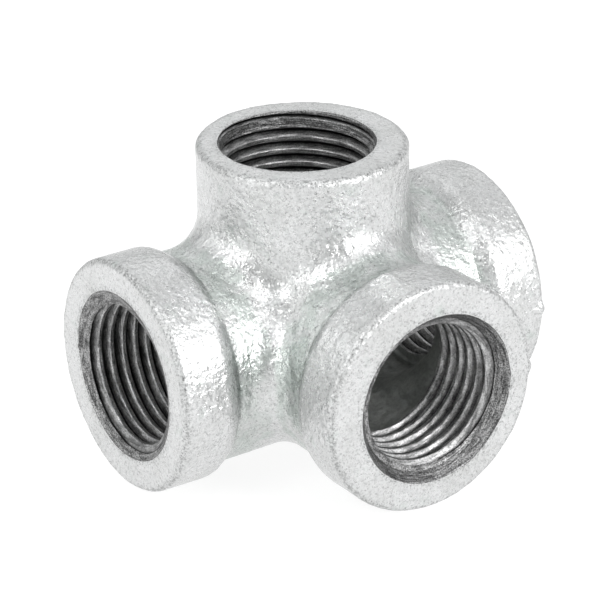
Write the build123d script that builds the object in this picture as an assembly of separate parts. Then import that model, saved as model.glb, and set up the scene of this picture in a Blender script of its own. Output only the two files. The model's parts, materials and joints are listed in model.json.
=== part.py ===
from build123d import *
import math
import os

# Side-outlet tee for half-inch taper pipe thread, cast in malleable iron and galvanised.
# Millimetres. Origin: where the three centre-lines cross. The run lies along X, the
# branch rises along +Z, and the side outlet points along -Y. The tee rests on the bands
# of its two run ports and its side outlet.

# Half-inch taper pipe thread
THREADS_PER_INCH = 14
PITCH = 25.4 / THREADS_PER_INCH
TAPER = 1 / 32                                  # of the radius: 1 in 16 on diameter
CREST_RADIUS = 9.35                             # of the drilled hole that the thread is cut in
GROOVE_DEPTH = 0.62                             # midway along the thread
GROOVE_ROOT = 0.10                              # width of the flat at the groove's root
GROOVE_HALF_ANGLE = 30
GROOVE_OVERCUT = 0.30                           # how far the cutter stands inside the crests
LEAST_GROOVE_VOLUME = 50                        # cubic mm that each port's groove takes away

# Casting, outside
BAND_RADIUS = 16.0
BAND_WIDTH = 6.4
BAND_SHOULDER = 2.4                             # length of the slope from band to neck
BAND_ROOT_DEPTH = 1.0                           # how far a band is rooted in its neck
RIM_ROUNDING = 0.6
BRANCH_RIM_ROUNDING = 1.0
CROTCH_RADIUS = 4.0                             # fillet where two necks meet

# Casting, inside
MOUTH_RADIUS = 11.35                            # of the countersink at the port's face
MOUTH_STEP_RADIUS = 10.25                       # where the countersink turns to 45 degrees


class Port:
    """One port, described along +Z and then turned to its direction."""

    def __init__(
        self, turn, reach, neck_radius, waterway_radius, mouth_depth, thread_depth, thread_start, banded
    ):
        self.turn = Rot(*turn)                  # takes +Z to the port's direction
        self.reach = reach                      # from the centre to the port's face
        self.neck_radius = neck_radius
        self.waterway_radius = waterway_radius  # of the cast hollow behind the thread
        self.mouth_depth = mouth_depth          # of the steep part of the countersink
        self.thread_depth = thread_depth        # from the face to the thread's inner end
        self.thread_start = thread_start        # angle at which the thread's groove starts
        self.banded = banded                    # whether a thick band surrounds the mouth


PORTS = {
    "run_port_left": Port((0, -90, 0), 28.7, 14.3, 10.7, 1.2, 12.4, 203, True),
    "run_port_right": Port((0, 90, 0), 28.7, 14.3, 10.7, 1.2, 12.4, 203, True),
    "side_outlet_port": Port((90, 0, 0), 29.0, 14.2, 10.5, 2.3, 12.4, 63, True),
    "branch_port": Port((0, 0, 0), 26.4, 14.0, 10.3, 1.5, 12.4, 259, False),
}


def revolved(points):
    """A solid of revolution about Z from an outline of (radius, height) points."""
    outline = Polyline(*[(radius, 0, height) for radius, height in points], close=True)
    return revolve(Plane.XZ * make_face(Plane.XZ.to_local_coords(outline)), Axis.Z)


def barrel(port):
    """The plain cast cylinder of one port, from the centre to its face."""
    cylinder = Cylinder(port.neck_radius, port.reach, align=(Align.CENTER, Align.CENTER, Align.MIN))
    if port.banded:
        return port.turn * cylinder
    rim = cylinder.edges().group_by(Axis.Z)[-1]
    return port.turn * fillet(rim, BRANCH_RIM_ROUNDING)


def band(port):
    """The thick collar round a port's mouth, with its sloped shoulder."""
    root = port.neck_radius - BAND_ROOT_DEPTH
    foot = port.reach - BAND_WIDTH - BAND_SHOULDER
    ring = revolved([
        (root, foot),
        (port.neck_radius, foot),
        (BAND_RADIUS, port.reach - BAND_WIDTH),
        (BAND_RADIUS, port.reach),
        (root, port.reach),
    ])
    rim = ring.edges().filter_by(GeomType.CIRCLE).group_by(Axis.Z)[-1].sort_by(SortBy.RADIUS)[-1]
    return port.turn * fillet(rim, RIM_ROUNDING)


def hollow(port):
    """The space inside one port: cast waterway, drilled hole and countersunk mouth."""
    thread_end = port.reach - port.thread_depth
    mouth_end = port.reach - port.mouth_depth
    return port.turn * revolved([
        (0, 0),
        (port.waterway_radius, 0),
        (port.waterway_radius, thread_end),
        (CREST_RADIUS, thread_end),
        (CREST_RADIUS, mouth_end - (MOUTH_STEP_RADIUS - CREST_RADIUS)),
        (MOUTH_STEP_RADIUS, mouth_end),
        (MOUTH_RADIUS, port.reach),
        (0, port.reach),
    ])


def thread_groove(port):
    """The right-hand helical groove, deeper towards the mouth because the thread tapers."""
    length = port.thread_depth + 2 * PITCH
    start = port.reach - port.thread_depth - PITCH
    below_middle = port.reach - port.thread_depth / 2 - start
    root_radius = CREST_RADIUS + GROOVE_DEPTH - below_middle * TAPER
    path = Pos(0, 0, start) * Helix(PITCH, length, root_radius, cone_angle=math.degrees(math.atan(TAPER)))
    depth = GROOVE_DEPTH + GROOVE_OVERCUT + length / 2 * TAPER
    half_root = GROOVE_ROOT / 2
    half_mouth = half_root + depth * math.tan(math.radians(GROOVE_HALF_ANGLE))
    section = Plane(path @ 0, x_dir=(1, 0, 0), z_dir=path % 0) * make_face(
        Polyline(
            (0, -half_root),
            (0, half_root),
            (-depth, half_mouth),
            (-depth, -half_mouth),
            close=True,
        )
    )
    groove = sweep(section, path=path, is_frenet=True)
    return port.turn * Rot(0, 0, port.thread_start) * groove


def crotch_edges(body):
    """The edges where one neck runs into another."""
    return body.edges().filter_by(lambda edge: edge.geom_type not in (GeomType.CIRCLE, GeomType.LINE))


def casting():
    """The whole one-piece casting."""
    ports = list(PORTS.values())
    body = barrel(ports[0])
    for port in ports[1:]:
        body += barrel(port)
    body = fillet(crotch_edges(body), CROTCH_RADIUS)
    for port in ports:
        if port.banded:
            body += band(port)
    for port in ports:
        body -= hollow(port)
    for port in ports:
        uncut_volume = body.volume
        body -= thread_groove(port)
        if uncut_volume - body.volume < LEAST_GROOVE_VOLUME:
            raise ValueError("a thread groove was not cut")
    return body


os.makedirs("parts", exist_ok=True)
export_step(casting(), "parts/tee_casting.step")
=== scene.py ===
import json
import math

import bmesh
import bpy
import numpy as np
from mathutils import Matrix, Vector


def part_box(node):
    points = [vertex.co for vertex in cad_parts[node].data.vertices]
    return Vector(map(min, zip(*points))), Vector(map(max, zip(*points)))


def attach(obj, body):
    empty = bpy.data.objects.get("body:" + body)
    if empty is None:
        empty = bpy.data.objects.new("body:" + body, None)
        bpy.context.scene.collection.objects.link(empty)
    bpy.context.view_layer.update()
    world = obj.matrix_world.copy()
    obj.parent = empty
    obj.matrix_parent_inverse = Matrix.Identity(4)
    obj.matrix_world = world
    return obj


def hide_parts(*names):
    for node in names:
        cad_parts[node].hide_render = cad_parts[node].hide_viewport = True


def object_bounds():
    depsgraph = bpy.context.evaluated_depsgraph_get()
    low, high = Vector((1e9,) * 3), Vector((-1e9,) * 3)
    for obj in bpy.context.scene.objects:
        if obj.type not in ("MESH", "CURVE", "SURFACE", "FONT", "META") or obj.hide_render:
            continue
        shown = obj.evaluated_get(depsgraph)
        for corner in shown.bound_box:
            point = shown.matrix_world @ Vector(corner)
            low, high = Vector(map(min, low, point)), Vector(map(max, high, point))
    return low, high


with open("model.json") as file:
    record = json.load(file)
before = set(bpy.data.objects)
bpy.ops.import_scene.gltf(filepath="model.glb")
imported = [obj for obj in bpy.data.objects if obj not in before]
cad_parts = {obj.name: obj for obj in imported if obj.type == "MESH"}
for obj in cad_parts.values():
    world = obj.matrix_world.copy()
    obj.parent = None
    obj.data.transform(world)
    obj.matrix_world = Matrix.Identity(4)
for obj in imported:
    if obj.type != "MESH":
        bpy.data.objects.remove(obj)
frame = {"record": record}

cad_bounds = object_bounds()

# Sizes are in millimetres, in the frame of the CAD model, and the meshes are written in metres.
MM = 0.001
NODE = "tee_casting"
box_low, box_high = (np.array(corner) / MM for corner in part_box(NODE))
mounts = {mount["name"]: mount for mount in frame["record"]["mounts"]}

# Thread
PITCH = 25.4 / 14
TAPER = 1 / 32
THREAD_HEIGHT = 1.05
ROOT_FLAT = 0.10
FLANK_WIDTH = THREAD_HEIGHT * math.tan(math.radians(30))
CREST_SOFTNESS = 0.08
CREST_RADIUS = mounts["branch_port"]["dims"]["r_mm"]

# Casting
BAND_WIDTH = 6.4
BAND_SHOULDER = 2.6
RIM_ROUNDING = 0.9
RUN_CROTCH = 4.0
BRANCH_CROTCH = 5.0
CAVITY_CROTCH = 6.0
END_ROUNDING = 0.5
LIP_BREAK = 0.15
MOUTH_DROP = 0.3
MOUTH_RUNOUT = 0.2
LEAN_DEPTH = 2.0
NUB_HEIGHT = 0.5
NUB_SIZE = 0.8
NUB_INSET = 0.6

# Roughness, as layers of (height, size, seed)
WAVINESS = ((0.08, 9.0, 11), (0.05, 3.5, 12))
LUMPS = ((0.035, 1.3, 21), (0.03, 0.8, 22))
TORN_CRESTS = (0.05, 0.45, 31)
WAVY_BORE = (0.03, 1.6, 32)
ROUGH_HUB = ((0.10, 3.0, 41), (0.10, 1.0, 42))

# Meshes
COLUMNS = 192
ROWS_PER_PITCH = 24
SKIN_STEP = 0.3
CAVITY_STEP = 0.35
SMOOTHING_ROUNDS = 3
SLOPE_REACH = 0.03
WEAKEST_SLOPE = 0.05
LONGEST_MOVE = 0.5
GRID_MARGIN = 1.0
CUTTER_MARGIN = 1.0
CUTTER_OVERLAP = 0.6
SHARP_ANGLE = 38

# Places of the finishes in a mesh's list, after the zinc skin's
THREAD, MOUTH, HUB = 1, 2, 3

# Marks that a mesh carries for its materials: how deep a point is in the thread, which sets the painted
# shade in the roots, how worn its edge is, how flat its face is, how near it is to a band's foot, where
# painted shade darkens the crease, and where it is along and across the tool's path.
MARKS = ("groove", "wear", "flat", "foot", "cut_x", "cut_y", "cut_z")
TOOL_SQUEEZE = 0.08


class Port:
    """One port: its cast outside and its bore, in a frame of side, up and axis.

    reach is from the centre to the face. neck, band, waterway, mouth and step are radii: mouth
    is the countersink's at the face and step is at its foot. start is the turn where the thread
    begins. The two shifts take the casting's face and the bore off the centre line, and tilt
    is how the face leans.
    """

    def __init__(self, name, axis, side, **sizes):
        self.name = name
        self.axis = np.array(axis, float)
        self.side = np.array(side, float)
        self.up = np.cross(self.axis, self.side)
        self.reach = sizes["reach"]
        self.foot = self.reach - BAND_WIDTH - BAND_SHOULDER
        self.neck = sizes["neck"]
        self.band = sizes["band"]
        self.waterway = sizes["waterway"]
        self.mouth = sizes["mouth"]
        self.step = sizes["step"]
        self.mouth_depth = sizes["mouth_depth"]
        self.thread_depth = sizes["thread_depth"]
        self.start = sizes["start"]
        self.cast_shift = np.array(sizes["cast_shift"], float)
        self.bore_shift = np.array(sizes["bore_shift"], float)
        self.tilt = np.array(sizes["tilt"], float)


PORTS = [
    Port(
        "left", (-1, 0, 0), (0, 1, 0), reach=box_high[0] - 0.2, neck=14.3, band=15.7, waterway=10.7,
        mouth=11.3, step=10.35, mouth_depth=0.6, thread_depth=12.2, start=0.47,
        cast_shift=(0, 0.15, -0.15), bore_shift=(0, -0.11, 0), tilt=(0, 0, 0),
    ),
    Port(
        "right", (1, 0, 0), (0, 1, 0), reach=box_high[0] - 0.25, neck=14.3, band=15.85, waterway=10.7,
        mouth=11.3, step=10.35, mouth_depth=0.6, thread_depth=11.6, start=0.35,
        cast_shift=(0, 0, 0), bore_shift=(0, 0, 0), tilt=(0, 0, 0),
    ),
    Port(
        "outlet", (0, -1, 0), (1, 0, 0), reach=-box_low[1] - 0.18, neck=14.3, band=15.75, waterway=10.5,
        mouth=11.45, step=10.4, mouth_depth=1.6, thread_depth=12.2, start=0.6,
        cast_shift=(0.1, 0, -0.08), bore_shift=(0.82, 0, -0.40), tilt=(0.008, 0, 0.008),
    ),
    Port(
        "branch", (0, 0, 1), (1, 0, 0), reach=box_high[2] - 0.33, neck=14.0, band=14.0, waterway=10.3,
        mouth=10.25, step=10.05, mouth_depth=1.7, thread_depth=12.2, start=0.62,
        cast_shift=(0.1, -0.05, 0), bore_shift=(-0.5, 0.2, 0), tilt=(0, 0.026, 0),
    ),
]
LEFT, RIGHT, OUTLET, BRANCH = PORTS


# ---------------------------------------------------------------- noise

def lattice_gradient(cell, seed):
    """A repeatable pseudo-random vector for each lattice cell."""
    mixed = cell[:, 0] * 73856093 ^ cell[:, 1] * 19349663 ^ cell[:, 2] * 83492791 ^ seed * 26544357
    mixed = (mixed ^ mixed >> 13) * 1274126177 & 0xFFFFFFFF
    mixed = mixed ^ mixed >> 16
    parts = [mixed & 1023, mixed >> 10 & 1023, mixed >> 20 & 1023]
    return np.stack(parts, axis=1) / 511.5 - 1.0


def noise(points, size, seed):
    """Smooth noise between about -1 and 1, with features of the given size."""
    scaled = points / size
    cell = np.floor(scaled).astype(np.int64)
    offset = scaled - cell
    fade = offset ** 3 * (offset * (offset * 6 - 15) + 10)
    total = np.zeros(len(points))
    for corner in np.ndindex(2, 2, 2):
        corner = np.array(corner)
        weight = np.prod(np.where(corner == 1, fade, 1 - fade), axis=1)
        total += weight * np.sum(lattice_gradient(cell + corner, seed) * (offset - corner), axis=1)
    return 1.3 * total


def layered(points, layers):
    """Several layers of noise, each (height, size, seed), on top of each other."""
    return sum(height * noise(points, size, seed) for height, size, seed in layers)


# ---------------------------------------------------------------- distances

def smooth_step(value):
    """From 0 to 1 as the value does, level at both ends."""
    value = np.clip(value, 0.0, 1.0)
    return value * value * (3 - 2 * value)


def bell(value, width):
    """Near 1 where the value is near nought, and nought beyond about twice the width."""
    return np.exp(-(value / width) ** 2)


def round_union(first, second, radius):
    """The distance to two shapes with a fillet of that radius between them."""
    radius = np.maximum(radius, 1e-6)
    inner = np.hypot(np.maximum(radius - first, 0), np.maximum(radius - second, 0))
    return np.maximum(radius, np.minimum(first, second)) - inner


def round_intersection(first, second, radius):
    """The distance to the common part of two shapes, with its edge rounded."""
    outer = np.hypot(np.maximum(radius + first, 0), np.maximum(radius + second, 0))
    return np.minimum(-radius, np.maximum(first, second)) + outer


def axial(points, port, shift):
    """Height along a port's axis, distance from it, and the direction away from it."""
    height = points @ port.axis
    bend = smooth_step(height / port.reach)
    moved = points - bend[:, None] * shift
    radial = moved - np.outer(height, port.axis)
    length = np.linalg.norm(radial, axis=1) + 1e-9
    return height, length, radial / length[:, None]


def outer_radius(height, port):
    """The radius of a port's cast outside at a height above the centre."""
    rise = np.sin(np.clip((height - port.foot) / BAND_SHOULDER, 0, 1) * math.pi / 2)
    return port.neck + (port.band - port.neck) * rise


def barrel(points, port):
    """Distance to one port's cast barrel, and the direction away from its axis."""
    height, length, outward = axial(points, port, port.cast_shift)
    side = length - outer_radius(height, port)
    top = height - port.reach - length * (outward @ port.tilt)
    return round_intersection(side, top, RIM_ROUNDING), outward


def waterway(points, port):
    """Distance to one port's cast waterway, and the direction away from its axis."""
    height, length, outward = axial(points, port, port.bore_shift)
    top = height - port.reach + port.thread_depth
    return round_intersection(length - port.waterway, top, END_ROUNDING), outward


def one_side(points, part, port):
    """One port's barrel or waterway, from the centre outwards."""
    distance, outward = part(points, port)
    return np.maximum(distance, -(points @ port.axis)), outward


def along_run(points, part):
    """The two run ports' barrels or waterways, which meet at the centre."""
    left, left_out = part(points, LEFT)
    right, right_out = part(points, RIGHT)
    on_left = points[:, 0] < 0
    return np.where(on_left, left, right), np.where(on_left[:, None], left_out, right_out)


def blended(first, first_out, second, second_out, radius):
    """Two barrels with a fillet that fades where their surfaces run the same way."""
    alignment = np.sum(first_out * second_out, axis=1)
    distance = round_union(first, second, radius * np.clip(1 - alignment, 0, 1))
    weight = 1 / (1 + np.exp(np.clip((first - second) / 1.5, -40, 40)))
    outward = first_out * weight[:, None] + second_out * (1 - weight[:, None])
    outward /= np.linalg.norm(outward, axis=1)[:, None] + 1e-9
    return distance, outward


def plain_casting(points):
    """Distance to the smooth outside of the casting."""
    body = blended(*along_run(points, barrel), *one_side(points, barrel, OUTLET), RUN_CROTCH)
    return blended(*body, *one_side(points, barrel, BRANCH), BRANCH_CROTCH)[0]


def cavity(points):
    """Distance to the cast hollow in the hub."""
    hollow = blended(*along_run(points, waterway), *one_side(points, waterway, OUTLET), CAVITY_CROTCH)
    hollow = blended(*hollow, *one_side(points, waterway, BRANCH), CAVITY_CROTCH)[0]
    return hollow + layered(points, ROUGH_HUB)


# ---------------------------------------------------------------- meshes

def gradient(distance, points):
    """The slope of a distance at some points."""
    steps = []
    for axis in range(3):
        move = np.zeros(3)
        move[axis] = SLOPE_REACH
        steps.append(distance(points + move) - distance(points - move))
    return np.stack(steps, axis=1) / (2 * SLOPE_REACH)


def projected(distance, points, rounds=2):
    """The points moved along the slope onto the surface."""
    for _ in range(rounds):
        slope = gradient(distance, points)
        strength = np.maximum(np.sum(slope * slope, axis=1), WEAKEST_SLOPE)
        move = distance(points)[:, None] * slope / strength[:, None]
        points = points - np.clip(move, -LONGEST_MOVE, LONGEST_MOVE)
    return points


def relaxed(points, quads):
    """Each point at the middle of its neighbours."""
    total = np.zeros_like(points)
    count = np.zeros(len(points))
    for a, b in ((0, 1), (1, 2), (2, 3), (3, 0)):
        for near, far in ((a, b), (b, a)):
            for axis in range(3):
                total[:, axis] += np.bincount(quads[:, near], points[quads[:, far], axis], len(points))
            count += np.bincount(quads[:, near], minlength=len(points))
    return total / count[:, None]


def grid_inside(distance, axes):
    """Which points of a grid are inside, worked out one layer at a time."""
    inside = np.empty(tuple(len(axis) for axis in axes), bool)
    ys, zs = np.meshgrid(axes[1], axes[2], indexing="ij")
    for index, x in enumerate(axes[0]):
        layer = np.stack([np.full(ys.size, x), ys.ravel(), zs.ravel()], axis=1)
        inside[index] = (distance(layer) < 0).reshape(ys.shape)
    return inside


def net_quads(inside, number):
    """A quad for each grid edge that crosses the surface, between the four cells round it."""
    quads = []
    for axis in range(3):
        order = (axis, (axis + 1) % 3, (axis + 2) % 3)
        solid = inside.transpose(order)
        near = number.transpose(order)
        i, j, k = np.argwhere(solid[:-1, 1:-1, 1:-1] != solid[1:, 1:-1, 1:-1]).T
        corners = (near[i, j, k], near[i, j + 1, k], near[i, j + 1, k + 1], near[i, j, k + 1])
        ring = np.stack(corners, axis=1)
        leaving = solid[i, j + 1, k + 1]
        quads.append(np.where(leaving[:, None], ring, ring[:, ::-1]))
    return np.concatenate(quads)


def surface_net(distance, low, high, step):
    """A closed quad mesh of the surface where the distance is nought."""
    axes = [np.arange(a, b + step, step) for a, b in zip(low, high)]
    inside = grid_inside(distance, axes)
    count = np.zeros(tuple(size - 1 for size in inside.shape), int)
    for corner in np.ndindex(2, 2, 2):
        count += inside[tuple(slice(c, c + size - 1) for c, size in zip(corner, inside.shape))]
    mixed = (count > 0) & (count < 8)
    number = np.full(mixed.shape, -1)
    number[mixed] = np.arange(mixed.sum())
    cells = np.argwhere(mixed)
    points = np.stack([axes[i][cells[:, i]] + step / 2 for i in range(3)], axis=1)
    quads = net_quads(inside, number)
    points = projected(distance, points)
    for _ in range(SMOOTHING_ROUNDS):
        points = projected(distance, relaxed(points, quads), rounds=1)
    return points, quads


def new_object(name, points, faces, materials, indices=None, **marks):
    """A Blender object from points in millimetres, with its marks as attributes of the points."""
    mesh = bpy.data.meshes.new(name)
    mesh.from_pydata((points * MM).tolist(), [], [list(face) for face in faces])
    for material in materials:
        mesh.materials.append(material)
    if indices is not None:
        mesh.polygons.foreach_set("material_index", indices)
    for mark in MARKS:
        values = np.asarray(marks.get(mark, np.zeros(len(points))), float)
        mesh.attributes.new(mark, "FLOAT", "POINT").data.foreach_set("value", values)
    mesh.update()
    piece = bpy.data.objects.new(name, mesh)
    bpy.context.scene.collection.objects.link(piece)
    return piece


# ---------------------------------------------------------------- skin

def parting_line(points):
    """How far the mould's parting line and its two small nubs stand out of the skin."""
    height = 0.08 + 0.06 * noise(points, 2.5, 51)
    ridge = height * bell(points[:, 2], 0.35)
    beside_outlet = (OUTLET.band, NUB_INSET - OUTLET.reach, 0)
    beside_right = (RIGHT.reach - NUB_INSET, -RIGHT.band, 0)
    for centre in (beside_outlet, beside_right):
        away = np.linalg.norm(points - np.array(centre), axis=1)
        ridge += NUB_HEIGHT * bell(away, NUB_SIZE)
    return ridge


def skin(points):
    """Distance to the outside of the casting with its cast and galvanised roughness."""
    return plain_casting(points) + layered(points, WAVINESS) - parting_line(points)


def face_marks(points):
    """How flat the skin is, near 1 on the ports' faces, how worn, near 1 at their edges, and
    how near it is to the foot of a band, where the zinc pools and painted shade darkens the crease."""
    flat = np.zeros(len(points))
    wear = np.zeros(len(points))
    foot = np.zeros(len(points))
    for port in PORTS:
        height, length, outward = axial(points, port, port.cast_shift)
        _, from_bore, _ = axial(points, port, port.bore_shift)
        below = port.reach + length * (outward @ port.tilt) - height
        on_face = bell(below, 0.35) * (length < port.band + 1)
        rim = bell(length - port.band + 0.35, 0.55) * bell(below - 0.35, 0.6)
        lip = bell(from_bore - port.mouth, 0.7) * on_face
        flat = np.maximum(flat, on_face * smooth_step((port.band - 0.7 - length) / 0.5))
        wear = np.maximum(wear, np.maximum(rim, lip))
        if port is not BRANCH:
            # This foot mark also places painted shade in the crease below each band's shoulder.
            pool_and_crease_shade = smooth_step((port.foot + 1.2 - height) / 1.5) * smooth_step((height - 12.5) / 3.0)
            foot = np.maximum(foot, pool_and_crease_shade * smooth_step((port.neck + 1.6 - length) / 1.2))
    return flat, wear, foot


def grain(points, flat):
    """The fine grain of the zinc, as a height above the skin, weaker on the flat faces."""
    pits = -0.07 * smooth_step((noise(points, 1.1, 23) - 0.45) / 0.25)
    return (layered(points, LUMPS) + pits) * (1 - 0.6 * flat)


def make_skin(materials):
    """The casting before its ports are cut: a mesh of the skin with the grain of its zinc."""
    points, quads = surface_net(skin, box_low - GRID_MARGIN, box_high + GRID_MARGIN, SKIN_STEP)
    slope = gradient(skin, points)
    slope /= np.linalg.norm(slope, axis=1)[:, None]
    flat, wear, foot = face_marks(points)
    points = points + slope * grain(points, flat)[:, None]
    points = np.clip(points, box_low, box_high)
    return new_object("tee_casting_body", points, quads, materials, flat=flat, wear=wear, foot=foot)


# ---------------------------------------------------------------- bores

def bore_radius(port, height, turn):
    """The radius of a port's bore at a height above the centre, and how deep it is in the groove."""
    depth = port.reach - height
    phase = (height / PITCH - turn + port.start) % 1.0
    from_root = np.abs(phase - 0.5) * PITCH
    groove = np.minimum(1 - (from_root - ROOT_FLAT / 2) / FLANK_WIDTH, 1)
    cut_depth = THREAD_HEIGHT * groove
    cut_depth = (cut_depth + np.hypot(cut_depth, CREST_SOFTNESS)) / 2
    crest = CREST_RADIUS + (port.thread_depth / 2 - depth) * TAPER
    mouth = np.interp(
        depth,
        [-CUTTER_MARGIN, LIP_BREAK, port.mouth_depth, port.mouth_depth + MOUTH_DROP],
        [port.mouth + CUTTER_MARGIN + LIP_BREAK, port.mouth, port.step, CREST_RADIUS - MOUTH_RUNOUT],
    )
    thread = crest + cut_depth
    return np.maximum(thread, mouth), thread > mouth, np.clip(groove, 0, 1)


def bore_faces(height, threaded):
    """The faces of a cutter, whose rows climb one pitch each turn, and their materials."""
    rows = height.shape[1] - 1
    faces = []
    kinds = []
    for i in range(COLUMNS):
        wraps = i == COLUMNS - 1
        following = 0 if wraps else i + 1
        shift = ROWS_PER_PITCH if wraps else 0
        for j in range(rows - shift):
            corners = (height[i, j], height[i, j + 1], height[following, j + shift])
            if min(corners) == max(corners) == height[following, j + shift + 1]:
                continue
            here = i * (rows + 1) + j
            there = following * (rows + 1) + j + shift
            faces.append((here, there, there + 1, here + 1))
            cut_by_tap = threaded[i, j] and threaded[following, j + shift + 1]
            kinds.append(THREAD if cut_by_tap else MOUTH)
    return faces, kinds


def make_bore(port, materials):
    """A closed cutter in the shape of one port's threaded bore, with rows that follow the helix."""
    start = port.reach - port.thread_depth - CUTTER_OVERLAP
    stop = port.reach + CUTTER_MARGIN
    rows = ROWS_PER_PITCH * (math.ceil((stop - start) / PITCH) + 2)
    column, row = np.meshgrid(np.arange(COLUMNS), np.arange(rows + 1), indexing="ij")
    turn = column / COLUMNS
    height = np.clip(start + (row / ROWS_PER_PITCH + turn - 1) * PITCH, start, stop)
    radius, threaded, groove = bore_radius(port, height, turn)
    angle = 2 * math.pi * turn
    across = np.stack([np.cos(angle), np.sin(angle)], axis=-1)
    around = across[..., :1] * port.side + across[..., 1:] * port.up
    lean = across @ np.array([port.tilt @ port.side, port.tilt @ port.up])
    near_face = smooth_step((height - port.reach + LEAN_DEPTH) / LEAN_DEPTH)
    along = (height + radius * lean * near_face)[..., None] * port.axis
    points = (port.bore_shift + along + radius[..., None] * around).reshape(-1, 3)
    torn = layered(points, [TORN_CRESTS]) * (1.2 - groove.ravel())
    rough = torn + layered(points, [WAVY_BORE])
    points = points + rough[:, None] * around.reshape(-1, 3)
    faces, kinds = bore_faces(height, threaded)
    tool = (TOOL_SQUEEZE * CREST_RADIUS * MM * across).reshape(-1, 2)
    cutter = new_object(
        f"bore_{port.name}", points, faces, materials, kinds, groove=groove.ravel(),
        cut_x=tool[:, 0], cut_y=tool[:, 1], cut_z=height.ravel() * MM,
    )
    close_ends(cutter.data)
    return cutter


def close_ends(mesh):
    """Joins doubled points and fills the two open ends."""
    work = bmesh.new()
    work.from_mesh(mesh)
    bmesh.ops.remove_doubles(work, verts=work.verts, dist=1e-7)
    bmesh.ops.dissolve_degenerate(work, edges=work.edges, dist=1e-8)
    loose = [vertex for vertex in work.verts if not vertex.link_faces]
    bmesh.ops.delete(work, geom=loose, context="VERTS")
    open_edges = [edge for edge in work.edges if edge.is_boundary]
    bmesh.ops.holes_fill(work, edges=open_edges, sides=0)
    bmesh.ops.recalc_face_normals(work, faces=work.faces)
    work.to_mesh(mesh)
    work.free()


def make_cavity(materials):
    """A closed cutter in the shape of the hub's cast hollow."""
    reach = max(port.reach - port.thread_depth for port in PORTS) + 2 * GRID_MARGIN
    limit = np.full(3, reach)
    points, quads = surface_net(cavity, -limit, limit, CAVITY_STEP)
    return new_object("hub_cavity", points, quads, materials, [HUB] * len(quads))


def connected_part(first):
    """Every vertex that can be reached from one vertex."""
    part = {first}
    frontier = {first}
    while frontier:
        near = {edge.other_vert(vertex) for vertex in frontier for edge in vertex.link_edges}
        frontier = near - part
        part |= frontier
    return part


def drop_crumbs(mesh):
    """Keeps the largest connected part of a mesh."""
    work = bmesh.new()
    work.from_mesh(mesh)
    remaining = set(work.verts)
    parts = []
    while remaining:
        parts.append(connected_part(next(iter(remaining))))
        remaining -= parts[-1]
    parts.sort(key=len)
    crumbs = [vertex for part in parts[:-1] for vertex in part]
    bmesh.ops.delete(work, geom=crumbs, context="VERTS")
    work.to_mesh(mesh)
    work.free()


def cut(body, cutters):
    """Takes the cutters out of the body and removes them."""
    for cutter in cutters:
        step = body.modifiers.new(cutter.name, "BOOLEAN")
        step.operation = "DIFFERENCE"
        step.solver = "MANIFOLD"
        step.object = cutter
        step.material_mode = "TRANSFER"
    bpy.context.view_layer.update()
    evaluated = body.evaluated_get(bpy.context.evaluated_depsgraph_get())
    finished = bpy.data.meshes.new_from_object(evaluated)
    body.modifiers.clear()
    body.data = finished
    finished.name = body.name
    for cutter in cutters:
        bpy.data.objects.remove(cutter)
    drop_crumbs(finished)
    finished.shade_smooth()
    finished.set_sharp_from_angle(angle=math.radians(SHARP_ANGLE))


# ---------------------------------------------------------------- materials

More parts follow.
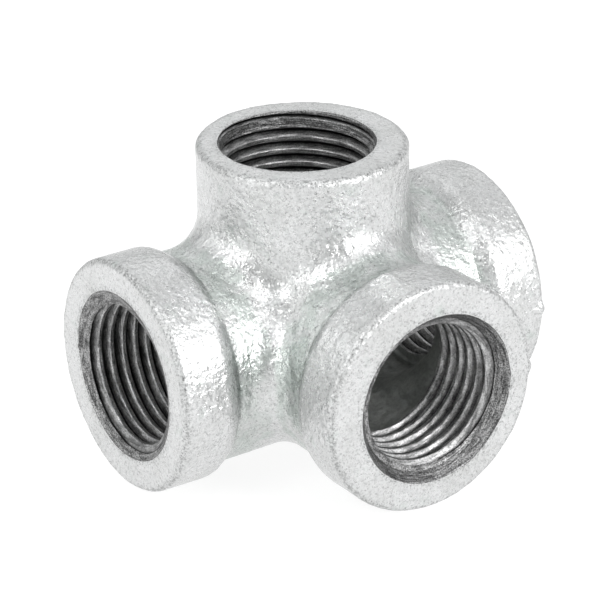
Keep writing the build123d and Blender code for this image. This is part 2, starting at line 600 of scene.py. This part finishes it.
class Material:
    """A node material with a few short ways to add what its surface needs."""

    def __init__(self, name):
        self.data = bpy.data.materials.new(name)
        self.data.use_nodes = True
        self.nodes = self.data.node_tree.nodes
        self.links = self.data.node_tree.links
        self.shader = self.nodes["Principled BSDF"]
        self.place = self.nodes.new("ShaderNodeTexCoord").outputs["Object"]

    def mark(self, name):
        """One of the marks that the mesh carries."""
        node = self.nodes.new("ShaderNodeAttribute")
        node.attribute_name = name
        return node.outputs["Fac"]

    def tool_path(self):
        """Places squeezed round the bore, so that a noise on them streaks along the cut."""
        node = self.nodes.new("ShaderNodeCombineXYZ")
        for axis, name in enumerate(("cut_x", "cut_y", "cut_z")):
            self.links.new(self.mark(name), node.inputs[axis])
        return node.outputs["Vector"]

    def noise(self, size, detail=2.0, roughness=0.5, place=None):
        """Noise with features of that size in millimetres."""
        node = self.nodes.new("ShaderNodeTexNoise")
        node.inputs["Scale"].default_value = 1 / (size * MM)
        node.inputs["Detail"].default_value = detail
        node.inputs["Roughness"].default_value = roughness
        self.links.new(place or self.place, node.inputs["Vector"])
        return node.outputs["Fac"]

    def ramp(self, value, *stops):
        """Colours or greys at places along a value."""
        node = self.nodes.new("ShaderNodeValToRGB")
        elements = node.color_ramp.elements
        while len(elements) < len(stops):
            elements.new(0.5)
        for element, (position, colour) in zip(elements, stops):
            element.position = position
            element.color = (*colour, 1) if isinstance(colour, tuple) else (colour, colour, colour, 1)
        self.links.new(value, node.inputs["Fac"])
        return node.outputs["Color"]

    def mix(self, kind, first, second, amount=1.0):
        """Two colours blended by that kind of mix."""
        node = self.nodes.new("ShaderNodeMix")
        node.data_type = "RGBA"
        node.blend_type = kind
        factor, a, b = node.inputs[0], node.inputs[6], node.inputs[7]
        factor.default_value = amount
        self.links.new(first, a)
        self.links.new(second, b)
        return node.outputs[2]

    def sum(self, first, second, scale=1.0):
        """The first value plus the second times a scale."""
        node = self.nodes.new("ShaderNodeMath")
        node.operation = "MULTIPLY_ADD"
        self.links.new(second, node.inputs[0])
        node.inputs[1].default_value = scale
        self.links.new(first, node.inputs[2])
        return node.outputs["Value"]

    def bump(self, *layers):
        """Layers of (value, height in millimetres, strength), each on the last."""
        normal = None
        for value, height, strength in layers:
            node = self.nodes.new("ShaderNodeBump")
            node.inputs["Distance"].default_value = height * MM
            if isinstance(strength, float):
                node.inputs["Strength"].default_value = strength
            else:
                self.links.new(strength, node.inputs["Strength"])
            self.links.new(value, node.inputs["Height"])
            if normal is not None:
                self.links.new(normal, node.inputs["Normal"])
            normal = node.outputs["Normal"]
        self.links.new(normal, self.shader.inputs["Normal"])

    def finish(self, colour, roughness, metallic):
        """Joins up the shader and gives the finished material."""
        self.links.new(colour, self.shader.inputs["Base Color"])
        self.links.new(roughness, self.shader.inputs["Roughness"])
        self.shader.inputs["Metallic"].default_value = metallic
        return self.data


def zinc_skin():
    """Hot-dip zinc on a sand-cast skin: bright, crinkled, faintly greenish where the zinc pools at the
    foot of each band, with painted shade darkening that crease, with dark specks along the worn edges."""
    look = Material("zinc_skin")
    flat = look.mark("flat")
    wear = look.mark("wear")
    cloud = look.ramp(look.noise(5.0, 3.0), (0.3, (0.655, 0.661, 0.657)), (0.7, (0.73, 0.735, 0.737)))
    mottle = look.ramp(look.noise(0.5, 4.0, 0.7), (0.36, 0.85), (0.56, 1.0))
    colour = look.mix("MULTIPLY", cloud, mottle)
    # Painted shade: where zinc pools at the foot of each band, a greenish tint that also darkens the
    # crease there.
    pooled_and_crease_shade = look.sum(look.noise(2.5, 3.0), look.mark("foot"), 0.3)
    green_and_crease_shade = look.ramp(pooled_and_crease_shade, (0.60, 1.0), (0.85, (0.82, 0.865, 0.835)))
    colour = look.mix("MULTIPLY", colour, green_and_crease_shade)
    smudge = look.ramp(look.sum(look.noise(0.35, 4.0, 0.75), wear, -0.09), (0.34, 0.5), (0.46, 1.0))
    colour = look.mix("MULTIPLY", colour, smudge, 0.8)
    chance = look.sum(look.noise(0.30, 3.0, 0.7), wear, -0.08)
    chance = look.sum(chance, look.noise(4.0, 2.0), -0.06)
    specks = look.ramp(chance, (0.25, 0.2), (0.33, 1.0))
    colour = look.mix("MULTIPLY", colour, specks, 0.85)
    roughness = look.sum(look.ramp(look.noise(1.2, 4.0, 0.6), (0.3, 0.20), (0.7, 0.36)), wear, 0.22)
    strength = look.ramp(flat, (0.0, 1.0), (1.0, 0.3))
    look.bump((look.noise(0.9, 3.0, 0.55), 0.24, strength), (look.noise(0.42, 2.0, 0.6), 0.07, strength))
    return look.finish(colour, roughness, 1.0)


def cut_thread():
    """Threads cut in the iron, streaked by the tap, with painted shade: bright on the crests, dark in the
    roots.
    """
    look = Material("cut_thread")
    path = look.tool_path()
    # Painted shade: the groove mark darkens the colour from the crests to nearly black in the roots.
    depth = look.ramp(
        look.mark("groove"), (0.0, 0.72), (0.45, 0.62), (0.78, 0.44), (0.93, 0.08), (1.0, 0.03)
    )
    streaks = look.ramp(look.noise(0.22, 4.0, 0.7, path), (0.40, 0.38), (0.58, 1.0))
    grit = look.ramp(look.noise(0.22, 3.0, 0.7), (0.38, 0.5), (0.56, 1.0))
    stain = look.ramp(look.noise(1.4, 4.0, 0.6), (0.32, 0.62), (0.64, 1.0))
    colour = look.mix("MULTIPLY", look.mix("MULTIPLY", depth, streaks), look.mix("MULTIPLY", stain, grit))
    roughness = look.ramp(look.noise(0.8, 3.0), (0.3, 0.34), (0.7, 0.50))
    look.bump((look.noise(0.18, 2.0, 0.6, path), 0.05, 0.9), (look.noise(0.25, 3.0, 0.6), 0.05, 0.8))
    return look.finish(colour, roughness, 1.0)


def countersink():
    """The countersunk mouth: torn, stippled metal between the zinc face and the thread."""
    look = Material("countersink")
    path = look.tool_path()
    stipple = look.ramp(look.noise(0.20, 3.0, 0.7), (0.38, 0.10), (0.60, 0.50))
    streaks = look.ramp(look.noise(0.18, 3.0, 0.65, path), (0.40, 0.35), (0.58, 1.0))
    colour = look.mix("MULTIPLY", stipple, streaks)
    roughness = look.ramp(look.noise(0.6, 3.0), (0.3, 0.36), (0.7, 0.55))
    look.bump((look.noise(0.15, 2.0, 0.6, path), 0.05, 0.9), (look.noise(0.3, 3.0, 0.6), 0.06, 0.8))
    return look.finish(colour, roughness, 1.0)


def cast_waterway_painted_shade():
    """The inside of the hub: cast skin under a duller coat of zinc, its colour painted darker than the
    outer zinc as shade in the hollow.
    """
    look = Material("cast_waterway_painted_shade")
    # Painted shade: a darker copy of the zinc colour for the shaded hollow.
    colour = look.ramp(look.noise(3.0, 4.0), (0.3, (0.33, 0.345, 0.335)), (0.7, (0.48, 0.49, 0.475)))
    grit = look.ramp(look.noise(0.5, 4.0, 0.7), (0.34, 0.7), (0.6, 1.0))
    roughness = look.ramp(look.noise(1.5, 3.0), (0.3, 0.45), (0.7, 0.65))
    look.bump((look.noise(0.8, 3.0), 0.12, 0.6))
    return look.finish(look.mix("MULTIPLY", colour, grit), roughness, 1.0)


def studio_floor():
    """A pale table that glows a little, so that the fitting casts hardly any shadow."""
    look = Material("studio_floor")
    colour = look.ramp(look.noise(300.0, 1.0), (0.0, 0.26), (1.0, 0.28))
    roughness = look.ramp(look.noise(300.0, 1.0), (0.0, 0.85), (1.0, 0.95))
    look.shader.inputs["Emission Color"].default_value = (1, 1, 1, 1)
    look.shader.inputs["Emission Strength"].default_value = 0.81
    return look.finish(colour, roughness, 0.0)


# ---------------------------------------------------------------- studio

def make_floor():
    """A wide table just under the fitting."""
    half = 2.0
    height = cad_bounds[0][2]
    corners = [(-half, -half), (half, -half), (half, half), (-half, half)]
    mesh = bpy.data.meshes.new("floor")
    mesh.from_pydata([(x, y, height) for x, y in corners], [], [(0, 1, 2, 3)])
    mesh.materials.append(studio_floor())
    floor = bpy.data.objects.new("floor", mesh)
    bpy.context.scene.collection.objects.link(floor)


def softbox(name, location, width, height, power):
    """An area light, in metres and watts, that faces the fitting."""
    light = bpy.data.lights.new(name, "AREA")
    light.shape = "RECTANGLE"
    light.size = width
    light.size_y = height
    light.energy = power
    lamp = bpy.data.objects.new(name, light)
    bpy.context.scene.collection.objects.link(lamp)
    back = np.array(location) / np.linalg.norm(location)
    right = np.cross((0, 0, 1), back)
    right /= np.linalg.norm(right)
    turn = Matrix((right, np.cross(back, right), back)).transposed()
    lamp.matrix_world = Matrix.Translation(location) @ turn.to_4x4()


def make_lights():
    """Small bright softboxes in front and to the left, and large dim ones behind."""
    softbox("front_low", (0.21, -0.79, 0.38), 0.28, 0.28, 3.2)
    softbox("front_high", (0.10, -0.37, 0.82), 0.28, 0.28, 0.62)
    softbox("front_right", (0.58, -0.58, 0.38), 0.28, 0.28, 0.65)
    softbox("left_high", (-0.61, -0.16, 0.64), 0.28, 0.28, 1.5)
    softbox("left_low", (-0.75, -0.1, 0.2), 0.4, 0.3, 0.72)
    softbox("back", (0.3, 0.6, 0.5), 0.6, 0.4, 0.23)
    softbox("back_left", (-0.5, 0.5, 0.4), 0.5, 0.4, 0.59)
    softbox("back_top", (0.1, 0.35, 0.75), 0.35, 0.35, 0.18)
    softbox("right", (0.85, 0.2, 0.4), 0.4, 0.4, 0.25)


def make_world():
    """A pale room, brightest overhead and a little to the right."""
    world = bpy.data.worlds.new("studio")
    bpy.context.scene.world = world
    world.use_nodes = True
    nodes = world.node_tree.nodes
    links = world.node_tree.links
    brightest = (0.37, 0.0, 0.93)
    darkest_colour = (0.335, 0.35, 0.34, 1)
    brightest_colour = (0.865, 0.87, 0.875, 1)
    place = nodes.new("ShaderNodeTexCoord")
    along = nodes.new("ShaderNodeVectorMath")
    share = nodes.new("ShaderNodeMath")
    ramp = nodes.new("ShaderNodeValToRGB")
    along.operation = "DOT_PRODUCT"
    along.inputs[1].default_value = brightest
    share.operation = "MULTIPLY_ADD"
    share.inputs[1].default_value = 0.5
    share.inputs[2].default_value = 0.5
    ramp.color_ramp.elements[0].color = darkest_colour
    ramp.color_ramp.elements[1].color = brightest_colour
    links.new(place.outputs["Generated"], along.inputs[0])
    links.new(along.outputs["Value"], share.inputs[0])
    links.new(share.outputs["Value"], ramp.inputs["Fac"])
    links.new(ramp.outputs["Color"], nodes["Background"].inputs["Color"])


def make_camera():
    """A long lens from the front left, looking down at the branch and the side outlet."""
    azimuth, elevation, roll = (math.radians(angle) for angle in (-33.57, 24.58, -1.16))
    distance, across, above = 387.5, -0.65, 2.82
    focal_share = 4.809
    level = np.array([math.cos(azimuth), math.sin(azimuth), 0])
    outward = np.array([math.sin(azimuth), -math.cos(azimuth), 0])
    back = math.cos(elevation) * outward + math.sin(elevation) * np.array([0, 0, 1])
    upright = np.cross(back, level)
    right = math.cos(roll) * level + math.sin(roll) * upright
    up = math.cos(roll) * upright - math.sin(roll) * level
    data = bpy.data.cameras.new("camera")
    data.sensor_width = 36
    data.lens = focal_share * data.sensor_width
    data.clip_start = 0.01
    camera = bpy.data.objects.new("camera", data)
    bpy.context.scene.collection.objects.link(camera)
    location = (across * right + above * up + distance * back) * MM
    turn = Matrix((right, up, back)).transposed()
    camera.matrix_world = Matrix.Translation(location) @ turn.to_4x4()
    bpy.context.scene.camera = camera


# ---------------------------------------------------------------- making

make_camera()
make_world()
make_floor()
make_lights()
bpy.context.scene.view_settings.view_transform = "Standard"

finishes = [zinc_skin(), cut_thread(), countersink(), cast_waterway_painted_shade()]
casting = make_skin(finishes)
cut(casting, [make_cavity(finishes)] + [make_bore(port, finishes) for port in PORTS])
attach(casting, "root")
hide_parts(NODE)
